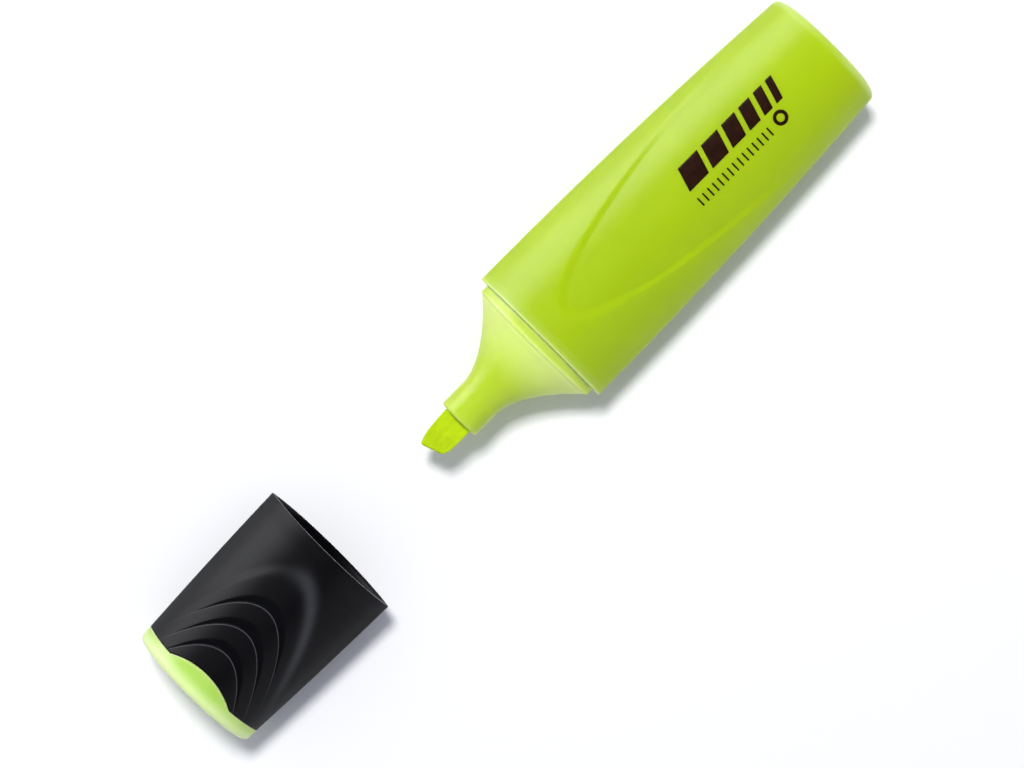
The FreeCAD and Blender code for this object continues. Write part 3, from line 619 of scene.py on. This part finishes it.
def grip_sink(row, depth, y, crown_drop):
    """Depth of the three pockets and of the hollow ahead of the arch, and the painted highlights on them.

    A pocket's floor is a plane that slants down to its rim, so its depth is the slope times
    the way run, less what the crowned face has already dropped. At the rim it steps back up.
    Painted highlights: the colour turns paler as glints on the rims' edges and as a lit band on the arch's
    vertex and -Y arm.
    """
    sink = np.zeros(np.broadcast_shapes(row.shape, y.shape))
    painted_highlight = np.zeros(sink.shape)
    arms = 1 - ease(*RIM_PAINTED_GLINT_END, np.abs(y))
    for rim, run in zip(RIMS, POCKET_RUN):
        floor = POCKET_SLOPE * (row - rim + run) - POCKET_SPAN_RATE * crown_drop
        floor = (floor + np.sqrt(floor ** 2 + POCKET_SOFTNESS ** 2)) / 2
        sink += floor * (row > rim - run - 1) * (1 - ease(rim - RIM_FACE, rim, row))
        # Painted highlight: a glint of pale colour along each rim's edge, fading out along the arms.
        painted_highlight += RIM_PAINTED_GLINT * np.exp(-((row - rim - RIM_PAINTED_GLINT_PLACE) / RIM_PAINTED_GLINT_REACH) ** 2) * arms
    ahead = depth - conic(y, ARCH_SPREAD, ARCH_CLOSE) - ARCH_START
    ahead = ahead / np.sqrt(1 + ARCH_LEAN * (2 * y / ARCH_SPREAD) ** 2)
    hollow = 1 - ease(-ARCH_BAND / 2, ARCH_BAND / 2, ahead)
    fade = 1 - ease(*ARCH_FADE, depth)
    # Painted highlight: a lit band of pale colour on the arch, fading towards +Y.
    painted_highlight += ARCH_PAINTED_HIGHLIGHT * np.exp(-(2 * ahead / ARCH_BAND) ** 2) * fade * (1 - ease(*ARCH_PAINTED_HIGHLIGHT_END, y))
    return sink + ARCH_DEPTH * hollow * ease(0, ARCH_RUN_IN, depth) * fade, painted_highlight


def cap_shell_rings(turns):
    """Rings from the mouth along the outside to the seam, then back along the bore.

    Outside rows lean over with the rims: a point lies behind its row by the rim's own curve,
    which grows in from the mouth, and stops at the seam.
    """
    rows = [np.arange(0.3, LEAN_RUN, 0.3)]
    for rim, run in zip(RIMS, POCKET_RUN):
        rows.append(np.linspace(rim - run - 0.5, rim - RIM_FACE, 13))
        rows.append(np.linspace(rim - RIM_FACE, rim + RIM_BACK, 13)[1:])
        rows.append(np.linspace(rim + RIM_BACK, rim + RIM_WAKE, 7)[1:])
    rows = np.unique(np.concatenate(rows + [np.arange(26.5, 31.5, 0.35)]))
    sine, cosine = np.sin(QUARTER_TURN), np.cos(QUARTER_TURN)
    row, inset = stations(
        (MOUTH_ROUNDING * (1 - cosine), MOUTH_ROUNDING * (1 - sine)), (rows, 0)).T[:, :, None]
    y = np.zeros((len(row), len(turns[0])))
    for _ in range(6):
        depth = row + ease(0, LEAN_RUN, row) * conic(y, RIM_SPREAD, RIM_CLOSE)
        depth = np.minimum(depth, seam(y))
        width, thickness = cap_size(depth)
        y, z = oval(width - inset, thickness - inset, CAP_SIDE - inset, turns)
    sink, painted_highlight = grip_sink(row, depth, y, thickness - np.abs(z))
    z = z - np.sign(z) * sink * ease(0, SINK_BLEND, np.abs(z))
    outer = np.stack(np.broadcast_arrays(-depth, y, z), -1)
    share = np.linspace(1, 0, 40)[:, None]
    y = np.zeros((len(share), len(turns[0])))
    for _ in range(4):
        depth = share * seam(y)
        sizes = [mouth + (end - mouth) * depth / BORE_DEPTH for mouth, end in zip(BORE_MOUTH, BORE_END)]
        y, z = oval(*sizes, BORE_SIDE, turns)
    rings = np.concatenate([outer, np.stack(np.broadcast_arrays(-depth, y, z), -1)])
    return rings, np.concatenate([np.clip(painted_highlight, 0, 1), np.zeros(depth.shape)])


shell_middle = tuple((shell_low + shell_high) / 2 / MM)
shell_plastic, shader, nodes, links, fine = finish_material(
    "cap_black_satin_plastic", SHELL_DEEP, SHELL_PALE, shell_middle,
    cloud=3.0, grain=0.13, depth=0.005, gloss=0.16, edge=SHELL_PAINTED_HIGHLIGHT_TONE)
vary_roughness(nodes, links, fine, shader, smooth=0.40, rough=0.48)
rings, painted_light = cap_shell_rings(oval_turns(140, 12))
cap_shell = skin("cap_shell_moulding", rings, cap_place, closed=True, painted_light=painted_light)
cap_shell.data.materials.append(shell_plastic)
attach(cap_shell, "cap")
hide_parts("cap_shell")

# ---- Cap end insert ---------------------------------------------------------------------
# The cap's closed end, moulded smooth in a light translucent green: a rounded end block with
# a tongue over each broad face, and a skirt pressed into the shell.
insert_low, insert_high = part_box("cap_end_insert")
CAP_LENGTH = (shell_high.x - insert_low.x) / MM
SEAM_GAP = 0.06
SEAM_ROUNDING = 0.14
END_ROUNDING = 0.95
END_SWEEP = 260.0
END_CROWN = 62.0
SKIRT_FRONT, SKIRT_FRONT_SIZE, SKIRT_BACK_SIZE = 26.0, (11.33, 6.88), (11.02, 6.8)
INSERT_BORE = (9.8, 5.6)
INSERT_WEB = 32.0
LEAST_END_SIDE = 0.5
# Painted light: shares of a pale lit tone at the seam and, as a painted highlight, round the end.
SEAM_PAINTED_LIGHT, SEAM_PAINTED_LIGHT_REACH = 0.6, 0.2
END_PAINTED_HIGHLIGHT, END_PAINTED_HIGHLIGHT_RUN = 0.75, (-2.2, 0.6)
INSERT_DEEP = (0.42, 0.69, 0.09)
INSERT_PALE = (0.48, 0.73, 0.13)
# Pale lit tone of the insert's painted light and highlights.
INSERT_PAINTED_LIGHT_TONE = (0.84, 0.97, 0.50)


def insert_rings(turns):
    """Rings from the floor inside the skirt, round its front, back to the seam, and out along
    the end block, whose edge is rounded onto an end face that bulges as two arcs. Painted
    light: the colour turns paler at the seam and round the end, as painted highlights."""
    sine, cosine = np.sin(QUARTER_TURN), np.cos(QUARTER_TURN)
    depth, width, rise, scale = stations(
        (INSERT_WEB, *INSERT_BORE, np.linspace(0, 1, 6)),
        (np.linspace(INSERT_WEB, SKIRT_FRONT, 5)[1:], *INSERT_BORE, 1),
        (SKIRT_FRONT, *SKIRT_FRONT_SIZE, 1)).T[:, :, None]
    y, z = oval(width, rise, BORE_SIDE, turns)
    skirt = np.stack(np.broadcast_arrays(-depth, y * scale, z * scale), -1)
    y, z = oval(*SKIRT_BACK_SIZE, BORE_SIDE, turns)
    step = np.stack([-(seam(y) + SEAM_GAP), y, z], -1)[None]
    share, inset, scale, bulk = stations(
        (SEAM_ROUNDING * (1 - cosine), SEAM_ROUNDING * (1 - sine), 1, 0),
        (np.linspace(0, 1, 26)[1:], 0, 1, 1),
        (END_ROUNDING * sine[1:], END_ROUNDING * (1 - cosine[1:]), 1, 2),
        (END_ROUNDING, END_ROUNDING, np.linspace(1, 0, 9)[1:], 2)).T[:, :, None]
    y = z = np.zeros((len(share), len(turns[0])))
    for _ in range(6):
        start = seam(y) + SEAM_GAP
        end = CAP_LENGTH - END_ROUNDING - (END_SWEEP - np.sqrt(END_SWEEP ** 2 - y ** 2))
        end = end - (END_CROWN - np.sqrt(END_CROWN ** 2 - z ** 2))
        along = start + SEAM_ROUNDING + (end - start - SEAM_ROUNDING) * share
        depth = np.where(bulk == 0, start + share, np.where(bulk == 1, along, end + share))
        width, rise = cap_size(np.minimum(depth, CAP_LENGTH))
        y, z = oval(width - inset, rise - inset, np.maximum(CAP_SIDE - inset, LEAST_END_SIDE), turns)
        y, z = y * scale, z * scale
    block = np.stack(np.broadcast_arrays(-depth, y, z), -1)
    # Painted light: pale lit colour near the seam and round the end.
    lit = SEAM_PAINTED_LIGHT * np.exp(-np.maximum(depth - start, 0) / SEAM_PAINTED_LIGHT_REACH)
    lit = lit + END_PAINTED_HIGHLIGHT * ease(*END_PAINTED_HIGHLIGHT_RUN, depth - end)
    return np.concatenate([skirt, step, block]), np.concatenate([np.zeros(skirt.shape[:2]), lit[:1], lit])


insert_middle = tuple((insert_low + insert_high) / 2 / MM)
insert_plastic, shader, nodes, links, fine = finish_material(
    "insert_light_green_plastic", INSERT_DEEP, INSERT_PALE, insert_middle,
    cloud=8.0, grain=0.5, depth=0.002, gloss=0.35, edge=INSERT_PAINTED_LIGHT_TONE)
vary_roughness(nodes, links, fine, shader, smooth=0.28, rough=0.36)
translucent(shader, weight=0.6, reach=2.0, spread=(0.8, 1.0, 0.4))
rings, painted_light = insert_rings(oval_turns(120, 14))
cap_end = skin("cap_end_moulding", rings, cap_place, painted_light=painted_light)
cap_end.data.materials.append(insert_plastic)
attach(cap_end, "cap")
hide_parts("cap_end_insert")

# ---- Inner seal -------------------------------------------------------------------------
# A blind tube in soft natural-white plastic, fixed to the insert, that grips the neck and
# keeps the nib from drying. The turned solid is kept and given its finish.
SEAL_DEEP = (0.74, 0.75, 0.71)
SEAL_PALE = (0.83, 0.84, 0.80)

seal_low, seal_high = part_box("cap_inner_seal")
seal_middle = tuple((seal_low + seal_high) / 2 / MM)
seal_plastic, shader, nodes, links, fine = finish_material(
    "seal_natural_plastic", SEAL_DEEP, SEAL_PALE, seal_middle,
    cloud=5.0, grain=0.4, depth=0.003, gloss=0.35)
vary_roughness(nodes, links, fine, shader, smooth=0.4, rough=0.5)
translucent(shader, weight=0.4, reach=1.2, spread=(1.0, 0.9, 0.8))
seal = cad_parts["cap_inner_seal"]
seal.data.materials.clear()
seal.data.materials.append(seal_plastic)

# ---- Table, light and camera ------------------------------------------------------------
# A pale sheet that curves up far from the object, a small key light above it to +X and +Y,
# soft boxes that only glossy skins show, and a dim surround. The camera looks straight down.
TABLE_RADIUS, TABLE_RISE = 2.6, 1.0
TABLE_TONE = (0.91, 0.905, 0.90)
TABLE_ROUGHNESS, TABLE_GLOSS = 0.9, 0.1
SURROUND = (0.40, 0.415, 0.49)
LIGHTS = (
    # name, place, size, power, lights the colour of things, shows in glossy skins
    ("key_light", (0.16, 0.31, 0.90), 0.20, 7.6, True, False),
    ("side_box", (0.05, 1.72, 0.60), 1.7, 56.0, False, True),
    ("top_box", (-0.20, 0.16, 1.60), 0.85, 2.0, False, True),
    ("fill_box", (-0.60, -1.25, 0.85), 1.5, 7.0, False, True),
)
CAMERA_PLACE = (-0.001575, -0.0022, 0.4185)
CAMERA_TURN = math.radians(-45.4)
CAMERA_LENS, CAMERA_FILM = 85.0, 36.0


def table_sheet():
    """Sheet turned about Z: flat to its radius, then a quarter circle that stands it up."""
    turn = np.arange(96) / 96 * 2 * math.pi
    lift = np.linspace(0, math.pi / 2, 14)
    radius = np.concatenate([np.linspace(0, TABLE_RADIUS, 8), TABLE_RADIUS + TABLE_RISE * np.sin(lift[1:])])
    height = np.concatenate([np.zeros(8), TABLE_RISE * (1 - np.cos(lift[1:]))])
    x = radius[:, None] * np.cos(turn)
    return np.stack(np.broadcast_arrays(x, radius[:, None] * np.sin(turn), height[:, None]), -1) / MM


table = skin("table", table_sheet(), np.zeros(3))
table_paint = bpy.data.materials.new("table_paper")
table_paint.use_nodes = True
table_shader = table_paint.node_tree.nodes["Principled BSDF"]
table_shader.inputs["Base Color"].default_value = (*TABLE_TONE, 1)
table_shader.inputs["Roughness"].default_value = TABLE_ROUGHNESS
table_shader.inputs["Specular IOR Level"].default_value = TABLE_GLOSS
table.data.materials.append(table_paint)


def soft_light(name, place, size, power, colours, glossy):
    """Square area light at a place, turned to face the object."""
    lamp = bpy.data.lights.new(name, "AREA")
    lamp.size = size
    lamp.energy = power
    holder = bpy.data.objects.new(name, lamp)
    holder.location = place
    holder.rotation_euler = (-Vector(place)).to_track_quat("-Z", "Y").to_euler()
    holder.visible_diffuse = colours
    holder.visible_glossy = glossy
    bpy.context.scene.collection.objects.link(holder)


for light in LIGHTS:
    soft_light(*light)
surround = bpy.data.worlds.new("surround")
surround.use_nodes = True
surround.node_tree.nodes["Background"].inputs["Color"].default_value = (*SURROUND, 1)
surround.cycles_visibility.glossy = False
bpy.context.scene.world = surround
bpy.context.scene.view_settings.view_transform = "Standard"

lens = bpy.data.cameras.new("camera")
lens.lens = CAMERA_LENS
lens.sensor_width = CAMERA_FILM
camera = bpy.data.objects.new("camera", lens)
camera.location = CAMERA_PLACE
camera.rotation_euler = (0, 0, CAMERA_TURN)
bpy.context.scene.collection.objects.link(camera)
bpy.context.scene.camera = camera
